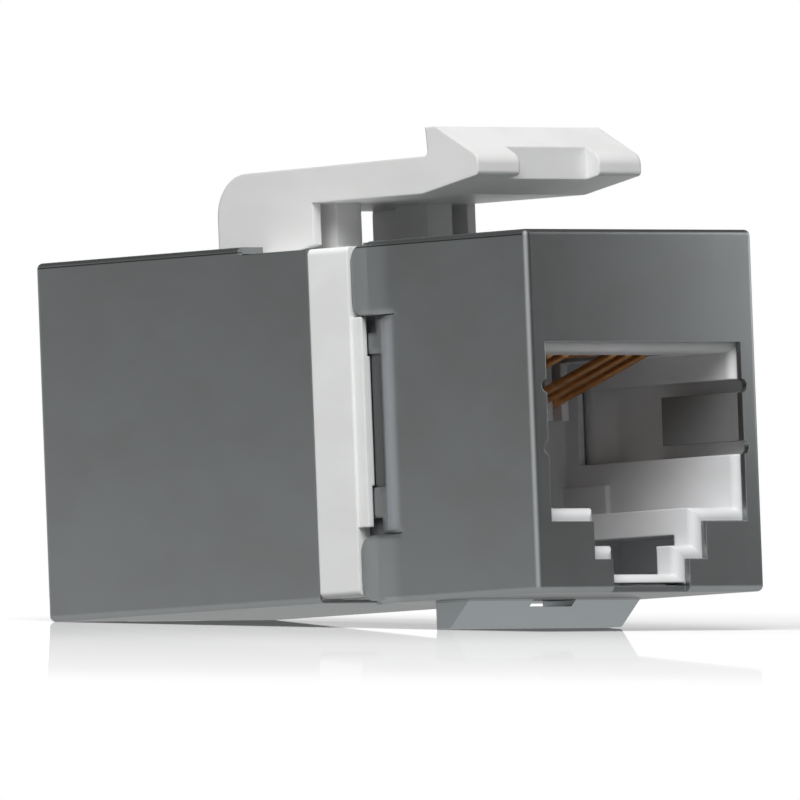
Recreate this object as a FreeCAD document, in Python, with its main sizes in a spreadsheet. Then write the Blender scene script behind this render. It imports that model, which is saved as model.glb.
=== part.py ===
"""Shielded in-line keystone coupler: two modular jacks back to back in a folded metal shield.

Frame: millimetres, +X to the right seen from the front, +Y rearwards, +Z up. The origin is the centre of
the front port, in the plane of the front face. The rear half is the front half turned about the vertical.
"""

import FreeCAD, Part
import math
import os
import Sketcher

DIMENSIONS = {
    # Outside of the coupler
    "body_width": 14.5,
    "body_height": 16.4,
    "body_length": 31.8,
    "port_drop": 9.2,
    "rear_rise": 0.2,
    # Sheet-metal shells
    "sheet": 0.3,
    "bend_radius": 0.28,
    "seam_gap": 0.03,
    "cover_depth": 11.4,
    "cover_gap": 0.05,
    # Rear tabs of the front shell
    "tab_length": 2.8,
    "upper_tab": 3.19,
    "lower_tab": 2.95,
    "tab_round": 0.75,
    "tab_bent": 1.2,
    "tab_tuck": 0.15,
    "corner_slit": 0.15,
    "corner_cut": 1.0,
    # Side flanges of the front shell
    "shear_gap": 0.06,
    "relief_gap": 0.8,
    "joggle_start": 0.1,
    "joggle_length": 1.35,
    "joggle_inset": 0.45,
    "flange_depth": 12.6,
    "flange_round": 0.5,
    "notch_lead": 0.3,
    "pocket_level": 1.1,
    "pocket_height": 6.05,
    "pocket_lead": 0.05,
    "pocket_length": 1.7,
    "pocket_depth": 0.15,
    # Lug under the front shell
    "lug_width": 10.9,
    "lug_front": 6.2,
    "lug_rear": 8.4,
    "lug_drop": 1.25,
    "lug_toe": 0.9,
    "slot_width": 2.7,
    "slot_height": 0.3,
    "slot_roof": 0.03,
    # Stepped opening in the metal, as margins round the moulded opening, and the ground springs
    "mouth_side": 0.25,
    "mouth_over": 0.45,
    "mouth_under": 0.62,
    "step_side": 0.48,
    "spring_height": 2.2,
    "spring_level": 0.73,
    "spring_length": 4.9,
    "spring_bow": 0.3,
    "spring_bend": 0.8,
    "relief_radius": 0.3,
    # Cut-out of the rear shell for the latch
    "cutout_margin": 0.65,
    "cutout_drop": 0.36,
    "cutout_side": 0.45,
    "cutout_end": 0.3,
    # Moulded jack inserts
    "insert_fit": 0.05,
    "head_gap": 0.1,
    "tail_fit": 0.1,
    "cavity_wall": 0.9,
    "cavity_rise": 3.65,
    "cavity_base": 3.83,
    "cavity_depth": 11.2,
    "lip_round": 0.45,
    "key_width": 6.2,
    "key_base": 2.12,
    "key_depth": 8.5,
    "tongue_width": 3.9,
    "tongue_base": 0.83,
    "lip_slot": 0.08,
    "latch_room_front": 1.6,
    "latch_room_side": 0.9,
    "latch_room_step": 0.52,
    "latch_room_wall": 0.5,
    "spring_room": 5.4,
    "ledge_width": 0.25,
    "ledge_height": 1.42,
    "ledge_front": 8.5,
    "nose_room": 0.35,
    "chamber_width": 8.6,
    "chamber_room": 0.33,
    "comb_front": 9.2,
    "comb_width": 0.45,
    "comb_foot": 1.0,
    # Contact springs and the sleds that they wrap round
    "contact_count": 8,
    "contact_pitch": 1.016,
    "strip_width": 0.45,
    "strip_thickness": 0.3,
    "strip_bend": 0.5,
    "nose_depth": 3.3,
    "root_gap": 0.18,
    "spring_tip_depth": 9.8,
    "spring_tip_level": 1.64,
    "raised_tip_level": 3.72,
    "tail_row_high": 6.0,
    "tail_row_low": 4.45,
    "tail_stub": 0.6,
    "tail_lead": 0.8,
    "tail_step": 1.4,
    "sled_width": 10.0,
    "sled_thickness": 1.0,
    "sled_level": 4.0,
    "sled_round": 0.4,
    "sled_run_gap": 0.1,
    "sled_tail_gap": 0.6,
    "sled_rib_height": 0.3,
    "sled_seat_gap": 0.02,
    # Circuit board between the jacks
    "board_thickness": 1.0,
    "board_gap": 0.03,
    "board_margin": 0.1,
    "hole_fit": 0.1,
    # Moulded centre frame
    "band_rear": 14.0,
    "band_drop": 0.35,
    "band_lift": 0.2,
    "frame_crown": 1.95,
    "frame_floor": 0.45,
    "frame_fit": 0.05,
    "spigot_width": 12.0,
    "lip_lead": 0.83,
    "lip_inset": 0.1,
    "lip_gap_high": 0.05,
    "lip_gap_low": 0.4,
    "pocket_gap": 0.1,
    "catch_height": 5.85,
    "catch_reach": 0.15,
    "catch_lead": 0.78,
    "catch_length": 0.7,
    # Moulded latch
    "latch_width": 10.4,
    "latch_tip": 4.9,
    "tip_level": 2.73,
    "tip_height": 0.85,
    "tip_round": 0.6,
    "edge_round": 0.22,
    "ramp_top": 7.55,
    "hook_rear": 8.2,
    "hook_lean": 0.12,
    "hook_level": 5.05,
    "arm_level": 3.75,
    "arm_rear_level": 3.6,
    "arm_under": 2.05,
    "head_rear": 8.55,
    "foot_front": 15.65,
    "foot_rear": 21.8,
    "foot_round": 1.9,
    "foot_gap": 0.1,
    "foot_toe": 0.2,
    "cheek": 0.52,
    "post_inner": 2.1,
    "post_width": 1.6,
    "post_depth": 2.0,
    "pivot_sink": 0.35,
    "pivot_radius": 1.2,
    "pivot_fit": 0.05,
    "pivot_side_fit": 0.08,
    "notch_width": 5.1,
    "notch_depth": 0.85,
}

# Contacts whose springs lie higher than the rest, close under the sled.
RAISED = (4, 5)

doc = FreeCAD.newDocument("keystone_coupler")
sheet = doc.addObject("Spreadsheet::Sheet", "dims")
for row, (alias, value) in enumerate(DIMENSIONS.items(), start=1):
    sheet.set(f"A{row}", alias)
    sheet.set(f"B{row}", str(value))
    sheet.setAlias(f"B{row}", alias)
doc.recompute()

# Levels and places that several pieces share, as expressions on the sheet.
HALF_WIDTH = "dims.body_width / 2"
TOP = "dims.port_drop"
BOTTOM = "(dims.port_drop - dims.body_height)"
INSIDE_X = "(dims.body_width / 2 - dims.sheet)"
INSIDE_TOP = "(dims.port_drop - dims.sheet)"
INSIDE_BOTTOM = f"({BOTTOM} + dims.sheet)"
SIDE_DEPTH = "(dims.cover_depth - dims.tab_length)"
CREASE = "(dims.cover_depth - dims.tab_bent)"
JOGGLE_END = f"({SIDE_DEPTH} + dims.joggle_length)"
FLANGE_OUT = "(dims.body_width / 2 - dims.joggle_inset)"
FLANGE_IN = f"({FLANGE_OUT} - dims.sheet)"
TAB_HIGH = f"({TOP} - dims.corner_slit - dims.upper_tab)"
TAB_LOW = f"({BOTTOM} + dims.corner_slit + dims.lower_tab)"
FLANGE_HIGH = f"({TAB_HIGH} - dims.relief_gap)"
FLANGE_LOW = f"({TAB_LOW} + dims.relief_gap)"
POCKET_FRONT = f"({JOGGLE_END} + dims.pocket_lead)"
INSERT_FRONT = "(dims.sheet + dims.insert_fit)"
HEAD_X = f"({INSIDE_X} - dims.insert_fit)"
HEAD_TOP = f"({INSIDE_TOP} - dims.insert_fit)"
HEAD_BOTTOM = f"({INSIDE_BOTTOM} + dims.insert_fit)"
HEAD_DEPTH = f"({SIDE_DEPTH} - dims.head_gap)"
TAIL_X = f"({FLANGE_IN} - dims.tail_fit)"
TAIL_TOP = f"({HEAD_TOP} - dims.frame_crown)"
TAIL_BOTTOM = f"({HEAD_BOTTOM} + dims.frame_floor)"
BOARD_FRONT = "(dims.body_length / 2 - dims.board_thickness / 2)"
INSERT_REAR = f"({BOARD_FRONT} - dims.board_gap)"
CAVITY_X = f"({HEAD_X} - dims.cavity_wall)"
CAVITY_TOP = "dims.cavity_rise"
CAVITY_FLOOR = f"({BOTTOM} + dims.cavity_base)"
KEY_X = "dims.key_width / 2"
KEY_FLOOR = f"({BOTTOM} + dims.key_base)"
TONGUE_X = "dims.tongue_width / 2"
TONGUE_FLOOR = f"({BOTTOM} + dims.tongue_base)"
MOUTH_X = f"({CAVITY_X} + dims.mouth_side)"
MOUTH_FLOOR = f"({CAVITY_FLOOR} - dims.mouth_under)"
KEY_MOUTH_FLOOR = f"({KEY_FLOOR} - dims.mouth_under)"
SPRING_LOW = "(dims.spring_level - dims.spring_height / 2)"
SPRING_HIGH = "(dims.spring_level + dims.spring_height / 2)"
SLED_SEAT = "(dims.sled_level - dims.sled_seat_gap)"
SLED_TOP = "(dims.sled_level + dims.sled_thickness)"
RUN_LEVEL = f"({SLED_TOP} + dims.sled_run_gap + dims.strip_thickness / 2)"
SPRING_ROOT = "(dims.sled_level - dims.root_gap)"
TAIL_LEAD = f"({BOARD_FRONT} - dims.tail_lead)"
CHAMBER_X = "(dims.sled_width / 2 + dims.insert_fit)"
CHAMBER_FRONT = "(dims.nose_depth - dims.strip_thickness / 2 - dims.nose_room)"
CHAMBER_ROOF = "(dims.tail_row_high + dims.strip_thickness / 2 + dims.chamber_room)"
HOLE_X = f"({TAIL_X} + dims.frame_fit)"
HOLE_TOP = f"({TAIL_TOP} + dims.rear_rise + dims.frame_fit)"
HOLE_BOTTOM = f"({TAIL_BOTTOM} - dims.frame_fit)"
BAND_FRONT = "(dims.cover_depth + dims.cover_gap)"
SLEEVE_REAR = f"(dims.body_length - {HEAD_DEPTH} - dims.frame_fit)"
SLEEVE_TOP = f"({HEAD_TOP} + dims.rear_rise)"
PIVOT_Y = "(dims.foot_front + dims.post_depth / 2)"
PIVOT_Z = f"({SLEEVE_TOP} - dims.pivot_sink)"
POST_OUTER = "(dims.post_inner + dims.post_width)"
CUTOUT_REAR = f"({PIVOT_Y} + dims.pivot_radius + dims.cutout_margin)"


def measure(expression):
    """The value of an expression on the sheet."""
    return float(sheet.evalExpression(expression))


def level(alias):
    """A height above the top of the front shell."""
    return f"({TOP} + dims.{alias})"


def new_body(label):
    body = doc.addObject("PartDesign::Body", label)
    body.Label = label
    return body


def sketch_on(body, name, role, offset):
    """A sketch on one of the body's own planes, set off along that plane's normal."""
    sketch = body.newObject("Sketcher::SketchObject", name)
    plane = next(item for item in body.Origin.OriginFeatures if item.Role == role)
    sketch.AttachmentSupport = (plane, [""])
    sketch.MapMode = "FlatFace"
    sketch.setExpression("AttachmentOffset.Base.z", offset)
    return sketch


def cross_sketch(body, name, depth):
    """A sketch across the coupler at a depth behind the front face: X to the right, Z up."""
    return sketch_on(body, name, "XZ_Plane", f"-({depth})")


def side_sketch(body, name, across="0"):
    """A sketch along the coupler seen from the side: Y to the right, Z up."""
    return sketch_on(body, name, "YZ_Plane", across)


def plan_sketch(body, name, height="0"):
    """A sketch seen from above: X to the right, Y up the page."""
    return sketch_on(body, name, "XY_Plane", height)


def place(sketch, geometry, point, expressions):
    """Tie a point of the sketch to an expression across and one up."""
    kinds = (("DistanceX", "across", -2), ("DistanceY", "up", -1))
    for (kind, word, axis), expression in zip(kinds, expressions):
        value = measure(expression)
        if expression == "0":
            sketch.addConstraint(Sketcher.Constraint("PointOnObject", geometry, point, axis))
            continue
        name = f"{word}_{geometry}"
        constraint = Sketcher.Constraint(kind, -1, 1, geometry, point, value)
        constraint.Name = name
        sketch.addConstraint(constraint)
        sketch.setExpression(f"Constraints.{name}", expression)


def rounding(before, here, after, radius):
    """Where a corner of that radius starts, its middle, and where it ends."""
    back = (before - here).normalize()
    ahead = (after - here).normalize()
    half = back.getAngle(ahead) / 2
    inward = (back + ahead).normalize()
    middle = here + inward * (radius / math.sin(half) - radius)
    run = radius / math.tan(half)
    return here + back * run, middle, here + ahead * run


def end_at(sketch, geometry, point):
    """Which end of an edge lies at a point."""
    return 1 if sketch.getPoint(geometry, 1).distanceToPoint(point) < 1e-6 else 2


def outline(sketch, corners, closed=True):
    """Straight runs through corners given as (across, up) or (across, up, radius), as expressions."""
    count = len(corners)
    spots = [FreeCAD.Vector(measure(corner[0]), measure(corner[1]), 0) for corner in corners]
    bends = {}
    for index, corner in enumerate(corners):
        if len(corner) == 3:
            after = spots[(index + 1) % count]
            bends[index] = rounding(spots[index - 1], spots[index], after, measure(corner[2]))
    runs = []
    for index in range(count if closed else count - 1):
        following = (index + 1) % count
        start = bends[index][2] if index in bends else spots[index]
        end = bends[following][0] if following in bends else spots[following]
        runs.append(sketch.addGeometry(Part.LineSegment(start, end)))
    for index, corner in enumerate(corners):
        leaving = runs[index] if index < len(runs) else None
        arriving = runs[index - 1] if closed or index > 0 else None
        if index in bends:
            start, middle, end = bends[index]
            arc = sketch.addGeometry(Part.Arc(start, middle, end))
            first = end_at(sketch, arc, start)
            sketch.addConstraint(Sketcher.Constraint("Tangent", arriving, 2, arc, first))
            sketch.addConstraint(Sketcher.Constraint("Tangent", leaving, 1, arc, 3 - first))
            constraint = Sketcher.Constraint("Radius", arc, measure(corner[2]))
            constraint.Name = f"radius_{arc}"
            sketch.addConstraint(constraint)
            sketch.setExpression(f"Constraints.radius_{arc}", corner[2])
            tip = sketch.addGeometry(Part.Point(spots[index]), True)
            sketch.addConstraint(Sketcher.Constraint("PointOnObject", tip, 1, arriving))
            sketch.addConstraint(Sketcher.Constraint("PointOnObject", tip, 1, leaving))
            place(sketch, tip, 1, corner[:2])
        elif leaving is None:
            place(sketch, arriving, 2, corner[:2])
        else:
            if arriving is not None:
                sketch.addConstraint(Sketcher.Constraint("Coincident", arriving, 2, leaving, 1))
            place(sketch, leaving, 1, corner[:2])


def rectangle(sketch, left, right, low, high):
    outline(sketch, [(left, low), (right, low), (right, high), (left, high)])


def mirrored(corners):
    """The same corners on the other side of the middle plane, for the first coordinate."""
    return [(f"-({corner[0]})", *corner[1:]) for corner in corners]


def both_sides(sketch, corners):
    outline(sketch, corners)
    outline(sketch, mirrored(corners))


def circle(sketch, across, up, radius):
    centre = FreeCAD.Vector(measure(across), measure(up), 0)
    edge = sketch.addGeometry(Part.Circle(centre, FreeCAD.Vector(0, 0, 1), measure(radius)))
    constraint = Sketcher.Constraint("Radius", edge, measure(radius))
    constraint.Name = f"radius_{edge}"
    sketch.addConstraint(constraint)
    sketch.setExpression(f"Constraints.radius_{edge}", radius)
    place(sketch, edge, 3, (across, up))


def grow(body, sketch, length, reverse=False, both=False):
    """Add a sketch's outline as a solid of that length."""
    pad = body.newObject("PartDesign::Pad", f"{sketch.Name}_pad")
    pad.Profile = sketch
    pad.Reversed = reverse
    pad.SideType = "Symmetric" if both else "One side"
    pad.setExpression("Length", length)
    return pad


def cut(body, sketch, length, reverse=False, both=False):
    """Cut a sketch's outline to that depth."""
    pocket = body.newObject("PartDesign::Pocket", f"{sketch.Name}_cut")
    pocket.Profile = sketch
    pocket.Reversed = reverse
    pocket.SideType = "Symmetric" if both else "One side"
    pocket.setExpression("Length", length)
    return pocket


def grow_back(body, sketch, length):
    return grow(body, sketch, length, reverse=True)


def round_edges(body, name, radius, wanted):
    """Round the edges of the body so far that a test on the edge picks out."""
    doc.recompute()
    base = body.Tip
    names = [f"Edge{i}" for i, edge in enumerate(base.Shape.Edges, start=1) if wanted(edge)]
    fillet = body.newObject("PartDesign::Fillet", name)
    fillet.Base = (base, names)
    fillet.setExpression("Radius", radius)
    doc.recompute()
    return fillet


def runs_along(edge, axis):
    """Whether a straight edge lies along an axis of the frame."""
    ends = [vertex.Point for vertex in edge.Vertexes]
    if len(ends) < 2:
        return False
    step = ends[1] - ends[0]
    others = [abs(getattr(step, other)) for other in "xyz" if other != axis]
    return max(others) < 1e-6


def lies_at(edge, axis, value):
    """Whether every end of an edge lies at a value of one axis."""
    return all(abs(getattr(vertex.Point, axis) - value) < 1e-6 for vertex in edge.Vertexes)


def turn_round(body):
    """Set a piece of the front half in the rear half."""
    body.Placement = FreeCAD.Placement(
        FreeCAD.Vector(0, 0, 0), FreeCAD.Rotation(FreeCAD.Vector(0, 0, 1), 180)
    )
    body.setExpression("Placement.Base.y", "dims.body_length")
    body.setExpression("Placement.Base.z", "dims.rear_rise")
    return body


def shell_walls(body, depth):
    """Folded box of sheet metal, open at its inner end, with rounded outer bends."""
    blank = cross_sketch(body, f"{body.Name}_blank", "0")
    rectangle(blank, f"-{HALF_WIDTH}", HALF_WIDTH, BOTTOM, TOP)
    grow_back(body, blank, depth)
    round_edges(
        body,
        f"{body.Name}_bends",
        "dims.bend_radius",
        lambda edge: lies_at(edge, "y", 0) or runs_along(edge, "y"),
    )
    inside = cross_sketch(body, f"{body.Name}_inside", "dims.sheet")
    rectangle(inside, f"-{INSIDE_X}", INSIDE_X, INSIDE_BOTTOM, INSIDE_TOP)
    cut(body, inside, depth)


def port_mouth(body):
    """Stepped opening for the plug and its tongue, with the ground springs folded in at its sides."""
    mouth = cross_sketch(body, f"{body.Name}_mouth", "0")
    key = f"{KEY_X} + dims.step_side"
    tongue = f"{TONGUE_X} + dims.step_side"
    right = [
        (MOUTH_X, f"{CAVITY_TOP} + dims.mouth_over"),
        (MOUTH_X, MOUTH_FLOOR),
        (key, MOUTH_FLOOR),
        (key, KEY_MOUTH_FLOOR),
        (tongue, KEY_MOUTH_FLOOR),
        (tongue, f"{BOTTOM} - dims.sheet"),
    ]
    outline(mouth, right + mirrored(right)[::-1])
    cut(body, mouth, INSERT_FRONT)
    reliefs = cross_sketch(body, f"{body.Name}_reliefs", "0")
    for side in ("", "-"):
        for height in (
            f"{SPRING_HIGH} + dims.relief_radius",
            f"{SPRING_LOW} - dims.relief_radius",
        ):
            circle(reliefs, f"{side}{MOUTH_X}", height, "dims.relief_radius")
    cut(body, reliefs, INSERT_FRONT)
    springs = plan_sketch(body, f"{body.Name}_springs", SPRING_LOW)
    outer = f"{MOUTH_X} + dims.sheet"
    both_sides(
        springs,
        [
            (MOUTH_X, "0", "dims.bend_radius"),
            (outer, "0"),
            (outer, "dims.spring_bend"),
            (f"{outer} - dims.spring_bow", "dims.spring_length"),
            (f"{MOUTH_X} - dims.spring_bow", "dims.spring_length"),
            (MOUTH_X, "dims.spring_bend"),
        ],
    )
    grow(body, springs, "dims.spring_height")


def front_shell():
    body = new_body("front_shell")
    shell_walls(body, "dims.cover_depth")
    port_mouth(body)
    # Between the tabs the side walls stop short, and past the tabs' crease the folded corners are cut off.
    sides = cross_sketch(body, "side_ends", SIDE_DEPTH)
    beyond = f"{HALF_WIDTH} + dims.sheet"
    both_sides(sides, [(HEAD_X, TAB_LOW), (beyond, TAB_LOW), (beyond, TAB_HIGH), (HEAD_X, TAB_HIGH)])
    cut(body, sides, "dims.cover_depth")
    corners = cross_sketch(body, "corner_ends", CREASE)
    corner_x = f"({HALF_WIDTH} - dims.corner_cut)"
    under = f"{BOTTOM} - dims.sheet"
    over = f"{TOP} + dims.sheet"
    both_sides(corners, [(corner_x, under), (beyond, under), (beyond, over), (corner_x, over)])
    cut(body, corners, "dims.cover_depth")
    # Tabs at the corners, creased so that their ends tuck in against the centre frame.
    joined = f"({CREASE} - dims.sheet)"
    tab = [
        (HALF_WIDTH, joined),
        (HALF_WIDTH, CREASE),
        (f"{HALF_WIDTH} - dims.tab_tuck", "dims.cover_depth"),
        (f"{INSIDE_X} - dims.tab_tuck", "dims.cover_depth"),
        (INSIDE_X, CREASE),
        (INSIDE_X, joined),
    ]
    for word, foot, height in (
        ("upper_tabs", TAB_HIGH, "dims.upper_tab"),
        ("lower_tabs", f"{BOTTOM} + dims.corner_slit", "dims.lower_tab"),
    ):
        tabs = plan_sketch(body, word, foot)
        both_sides(tabs, tab)
        grow(body, tabs, height)
    round_edges(
        body,
        "tab_corners",
        "dims.tab_round",
        lambda edge: runs_along(edge, "x")
        and lies_at(edge, "y", measure("dims.cover_depth"))
        and edge.Length < 2 * measure("dims.sheet"),
    )
    # Flanges set in by a joggle, which reach under the lips of the centre frame.
    flange_foot = f"({TAB_LOW} + dims.shear_gap)"
    flanges = plan_sketch(body, "side_flanges", flange_foot)
    overlap = f"({SIDE_DEPTH} - dims.sheet)"
    bend = f"({SIDE_DEPTH} + dims.joggle_start)"
    both_sides(
        flanges,
        [
            (HALF_WIDTH, overlap),
            (HALF_WIDTH, bend, "dims.flange_round"),
            (FLANGE_OUT, JOGGLE_END, "dims.flange_round"),
            (FLANGE_OUT, "dims.flange_depth"),
            (FLANGE_IN, "dims.flange_depth"),
            (FLANGE_IN, JOGGLE_END, "dims.flange_round"),
            (INSIDE_X, bend, "dims.flange_round"),
            (INSIDE_X, overlap),
        ],
    )
    grow(body, flanges, f"{TAB_HIGH} - dims.shear_gap - {flange_foot}")
    # Square notches beside the tabs, and the pressed pockets that the frame's catches snap into.
    notches = side_sketch(body, "flange_notches")
    notch = f"({JOGGLE_END} + dims.notch_lead)"
    past = "dims.flange_depth + dims.sheet"
    rectangle(notches, notch, past, FLANGE_HIGH, TAB_HIGH)
    rectangle(notches, notch, past, TAB_LOW, FLANGE_LOW)
    cut(body, notches, "2 * dims.body_width", both=True)
    bed = f"({FLANGE_OUT} - dims.pocket_depth)"
    half = "dims.pocket_height / 2"
    for word, across in (("right_pocket", bed), ("left_pocket", f"-{bed}")):
        pocket = side_sketch(body, word, across)
        rectangle(
            pocket,
            POCKET_FRONT,
            f"{POCKET_FRONT} + dims.pocket_length",
            f"dims.pocket_level - {half}",
            f"dims.pocket_level + {half}",
        )
        cut(body, pocket, "dims.joggle_inset", reverse=across == bed)
    # Wedge lug that catches behind the panel's lower edge.
    lug = side_sketch(body, "lug")
    toe = f"{BOTTOM} - dims.lug_drop"
    root = f"{BOTTOM} + dims.sheet / 2"
    outline(
        lug,
        [
            ("dims.lug_front", BOTTOM),
            ("dims.lug_rear - dims.lug_toe", toe),
            ("dims.lug_rear", toe),
            ("dims.lug_rear", root),
            ("dims.lug_front", root),
        ],
    )
    grow(body, lug, "dims.lug_width", both=True)
    slot = cross_sketch(body, "lug_slot", "dims.lug_front")
    slot_top = f"{BOTTOM} - dims.slot_roof"
    slot_x = "dims.slot_width / 2"
    rectangle(slot, f"-{slot_x}", slot_x, f"{slot_top} - dims.slot_height", slot_top)
    cut(body, slot, "dims.lug_rear")
    return body


def rear_shell():
    body = new_body("rear_shell")
    depth = "(dims.body_length - dims.band_rear - dims.seam_gap)"
    shell_walls(body, depth)
    port_mouth(body)
    cutout = cross_sketch(body, "latch_cutout", f"dims.body_length - {CUTOUT_REAR}")
    edge = f"{HALF_WIDTH} + dims.sheet"
    low = f"{TOP} - dims.cutout_drop"
    over = f"{TOP} + dims.sheet"
    rectangle(cutout, f"-({edge})", edge, low, over)
    cut(body, cutout, depth)
    # Between the side strips the cut-out runs on under the whole foot of the latch.
    well = cross_sketch(body, "latch_well", "dims.body_length - dims.foot_rear - dims.cutout_end")
    edge = "(dims.latch_width / 2 + dims.cutout_side)"
    rectangle(well, f"-{edge}", edge, low, over)
    cut(body, well, depth)
    return turn_round(body)


def port_insert(label):
    """Moulded jack housing: a wide head behind the face, and a tail that ends on the circuit board."""
    body = new_body(label)
    head = cross_sketch(body, f"{label}_head", INSERT_FRONT)
    rectangle(head, f"-{HEAD_X}", HEAD_X, HEAD_BOTTOM, HEAD_TOP)
    grow_back(body, head, f"{HEAD_DEPTH} - {INSERT_FRONT}")
    tail = cross_sketch(body, f"{label}_tail", HEAD_DEPTH)
    rectangle(tail, f"-{TAIL_X}", TAIL_X, TAIL_BOTTOM, TAIL_TOP)
    grow_back(body, tail, f"{INSERT_REAR} - {HEAD_DEPTH}")
    # Stepped cavity: plug, the key of its latch, and the latch's tongue.
    steps = (
        ("cavity", CAVITY_X, CAVITY_FLOOR, CAVITY_TOP, "dims.cavity_depth"),
        ("key", KEY_X, KEY_FLOOR, "0", "dims.key_depth"),
        ("tongue", TONGUE_X, TONGUE_FLOOR, "0", "dims.latch_room_front + dims.insert_fit"),
    )
    for word, edge, low, high, depth in steps:
        sketch = cross_sketch(body, f"{label}_{word}", INSERT_FRONT)
        rectangle(sketch, f"-{edge}", edge, low, high)
        cut(body, sketch, f"{depth} - {INSERT_FRONT}")
    front = measure(INSERT_FRONT)
    reach = measure(CAVITY_X) + measure("dims.insert_fit")
    ceiling = measure(CAVITY_TOP) + measure("dims.insert_fit")
    floor = measure(TONGUE_FLOOR) - measure("dims.insert_fit")
    # The rounding of the lip stays inside the wall beside the cavity and the floor under the tongue.
    room = f"min(dims.cavity_wall; {TONGUE_FLOOR} - {HEAD_BOTTOM}) - dims.insert_fit / 2"
    round_edges(
        body,
        f"{label}_lip",
        f"min(dims.lip_round; {room})",
        lambda edge: lies_at(edge, "y", front)
        and all(abs(v.Point.x) < reach and floor < v.Point.z < ceiling for v in edge.Vertexes),
    )
    # Room behind the stepped lip for the plug's latch, open towards the metal below.
    latch_room = cross_sketch(body, f"{label}_latch_room", "dims.latch_room_front")
    edge = f"({HEAD_X} - dims.latch_room_side)"
    rectangle(latch_room, f"-{edge}", edge, BOTTOM, f"{KEY_FLOOR} + dims.latch_room_step")
    cut(body, latch_room, f"{HEAD_DEPTH} - dims.latch_room_wall - dims.latch_room_front")
    lip_slot = cross_sketch(body, f"{label}_lip_slot", INSERT_FRONT)
    edge = f"({TONGUE_X} + dims.step_side)"
    rectangle(lip_slot, f"-{edge}", edge, BOTTOM, f"{HEAD_BOTTOM} + dims.lip_slot")
    cut(body, lip_slot, "dims.latch_room_front")
    windows = side_sketch(body, f"{label}_spring_windows")
    margin = "2 * dims.relief_radius"
    rectangle(
        windows,
        "0",
        "dims.spring_length + dims.spring_room",
        f"{SPRING_LOW} - {margin}",
        f"{SPRING_HIGH} + {margin}",
    )
    cut(body, windows, "2 * dims.body_width", both=True)
    # Chamber over the cavity for the contact sled, with a narrower slot down into the cavity.
    chamber = cross_sketch(body, f"{label}_chamber", CHAMBER_FRONT)
    slot = "dims.chamber_width / 2"
    right = [
        (slot, f"{CAVITY_TOP} - dims.insert_fit"),
        (slot, SLED_SEAT),
        (CHAMBER_X, SLED_SEAT),
        (CHAMBER_X, CHAMBER_ROOF),
    ]
    outline(chamber, right + mirrored(right)[::-1])
    cut(body, chamber, f"{INSERT_REAR} - {CHAMBER_FRONT} + dims.insert_fit")
    # Ledges in the lower rear corners, and the comb that keeps the contact tips apart.
    ledges = cross_sketch(body, f"{label}_ledges", "dims.ledge_front")
    inner = f"{CAVITY_X} - dims.ledge_width"
    crest = f"{CAVITY_FLOOR} + dims.ledge_height"
    both_sides(
        ledges, [(inner, CAVITY_FLOOR), (CAVITY_X, CAVITY_FLOOR), (CAVITY_X, crest), (inner, crest)]
    )
    grow_back(body, ledges, "dims.cavity_depth - dims.ledge_front")
    comb = cross_sketch(body, f"{label}_comb", "dims.comb_front")
    for left, right in teeth():
        rectangle(comb, left, right, "dims.comb_foot", CAVITY_TOP)
    grow_back(body, comb, "dims.cavity_depth - dims.comb_front")
    return body


def teeth():
    """Left and right sides of the teeth between the contacts, one more than there are contacts."""
    half = "dims.comb_width / 2"
    middles = [
        f"({index} - dims.contact_count / 2) * dims.contact_pitch"
        for index in range(int(DIMENSIONS["contact_count"]) + 1)
    ]
    return [(f"{middle} - {half}", f"{middle} + {half}") for middle in middles]


def contact_x(number):
    """Where a contact lies across the port, counted from 1."""
    return f"({number} - (dims.contact_count + 1) / 2) * dims.contact_pitch"


def contact_row(number):
    """Odd contacts end in the board's upper row of holes, even ones in its lower row."""
    return "dims.tail_row_high" if number % 2 else "dims.tail_row_low"


def strip_section(sketch, number, height, margin="0"):
    """Section of a contact's flat strip, or of a hole that clears it by a margin."""
    middle = contact_x(number)
    across = f"(dims.strip_width / 2 + {margin})"
    thick = f"(dims.strip_thickness / 2 + {margin})"
    rectangle(
        sketch,
        f"{middle} - {across}",
        f"{middle} + {across}",
        f"{height} - {thick}",
        f"{height} + {thick}",
    )


def contact(label, number):
    """Formed strip: board tail, run along the top of the sled, nose, and the sloping spring."""
    body = new_body(label)
    tail_end = f"({BOARD_FRONT} + dims.board_thickness + dims.tail_stub)"
    height = contact_row(number)
    path = side_sketch(body, f"{label}_path", contact_x(number))
    bend = "dims.strip_bend"
    tip = "dims.raised_tip_level" if number in RAISED else "dims.spring_tip_level"
    outline(
        path,
        [
            (tail_end, height),
            (TAIL_LEAD, height, bend),
            (f"{TAIL_LEAD} - dims.tail_step", RUN_LEVEL, bend),
            ("dims.nose_depth", RUN_LEVEL, bend),
            ("dims.nose_depth", SPRING_ROOT, bend),
            ("dims.spring_tip_depth", tip),
        ],
        closed=False,
    )
    section = cross_sketch(body, f"{label}_section", tail_end)
    strip_section(section, number, height)
    strip = body.newObject("PartDesign::AdditivePipe", f"{label}_strip")
    strip.Profile = section
    strip.Spine = (path, [])
    return body


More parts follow.
